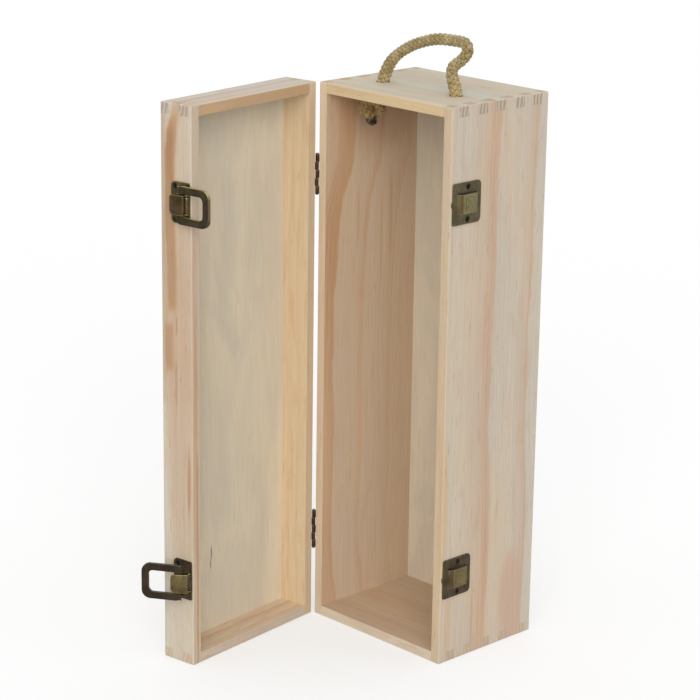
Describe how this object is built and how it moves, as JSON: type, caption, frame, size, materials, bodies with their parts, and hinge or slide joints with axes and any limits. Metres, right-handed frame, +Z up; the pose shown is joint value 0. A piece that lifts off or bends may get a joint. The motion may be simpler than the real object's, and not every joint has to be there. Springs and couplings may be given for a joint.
{
  "type": "wooden wine box",
  "caption": "Tall finger-jointed pine case for one wine bottle, with a hinged tray lid standing open, two brass draw latches and a plaited rope handle.",
  "frame": {"origin": "middle of the case's bottom end, on the surface it stands on", "axes": "+Z up along the case's height; the case's open front faces -Y; the lid is hung on the left, at -X, and stands open towards -Y"},
  "size_m": [0.142, 0.2188, 0.3857],
  "materials": {
    "pine": "sanded unfinished pine with pinkish grain",
    "plywood": "plain pale plywood",
    "hinge_brass": "dark antique brass",
    "antique_brass": "antique brass, darker in the recesses",
    "nail_steel": "darkened domed nail heads",
    "rope": "plaited beige and gold cord with dark melted ends"
  },
  "bodies": {
    "case": {"case_left_side": "pine", "case_right_side": "pine", "case_top": "pine", "case_bottom": "pine", "case_back": "plywood", "upper_hinge_case_leaf": "hinge_brass", "lower_hinge_case_leaf": "hinge_brass", "upper_hinge_pin": "hinge_brass", "lower_hinge_pin": "hinge_brass", "upper_catch": "antique_brass", "lower_catch": "antique_brass", "case_nails": "nail_steel", "rope_handle": "rope", "left_knot": "rope", "right_knot": "rope"},
    "lid": {"lid_hinge_rail": "pine", "lid_free_rail": "pine", "lid_top_rail": "pine", "lid_bottom_rail": "pine", "lid_panel": "plywood", "upper_hinge_lid_leaf": "hinge_brass", "lower_hinge_lid_leaf": "hinge_brass", "upper_latch_base": "antique_brass", "lower_latch_base": "antique_brass", "upper_lever_pin": "antique_brass", "lower_lever_pin": "antique_brass", "lid_nails": "nail_steel"},
    "upper_lever": {"upper_lever": "antique_brass"},
    "lower_lever": {"lower_lever": "antique_brass"},
    "upper_ring_pin": {"upper_ring_pin": "antique_brass"},
    "lower_ring_pin": {"lower_ring_pin": "antique_brass"},
    "upper_ring": {"upper_ring": "antique_brass"},
    "lower_ring": {"lower_ring": "antique_brass"}
  },
  "joints": [
    {"name": "lid_hinge", "type": "hinge", "parent": "case", "child": "lid", "pos_m": [-0.05785, -0.04195, 0.175], "axis": [0, 0, -1], "range_deg": [-82.8, 97.2]},
    {"name": "upper_lever_pivot", "type": "hinge", "parent": "lid", "child": "upper_lever", "pos_m": [-0.04488, -0.15819, 0.2917], "axis": [0, 0, 1], "range_deg": [0, 110]},
    {"name": "lower_lever_pivot", "type": "hinge", "parent": "lid", "child": "lower_lever", "pos_m": [-0.04488, -0.15819, 0.0555], "axis": [0, 0, 1], "range_deg": [-29, 81]},
    {"name": "upper_ring_pin_turn", "type": "hinge", "parent": "upper_lever", "child": "upper_ring_pin", "pos_m": [-0.04927, -0.16096, 0.2917], "axis": [0, 0, 1], "range_deg": [-110, 0]},
    {"name": "lower_ring_pin_turn", "type": "hinge", "parent": "lower_lever", "child": "lower_ring_pin", "pos_m": [-0.04737, -0.16274, 0.0555], "axis": [0, 0, 1], "range_deg": [-81, 29]},
    {"name": "upper_ring_swing", "type": "hinge", "parent": "upper_ring_pin", "child": "upper_ring", "pos_m": [-0.04927, -0.16096, 0.2917], "axis": [0, 0, 1], "range_deg": [-185, 22]},
    {"name": "lower_ring_swing", "type": "hinge", "parent": "lower_ring_pin", "child": "lower_ring", "pos_m": [-0.04737, -0.16274, 0.0555], "axis": [0, 0, 1], "range_deg": [-33, 176]}
  ],
  "couplings": [
    {"joint": "upper_ring_pin_turn", "follows": "upper_lever_pivot", "ratio": -1},
    {"joint": "lower_ring_pin_turn", "follows": "lower_lever_pivot", "ratio": -1}
  ]
}
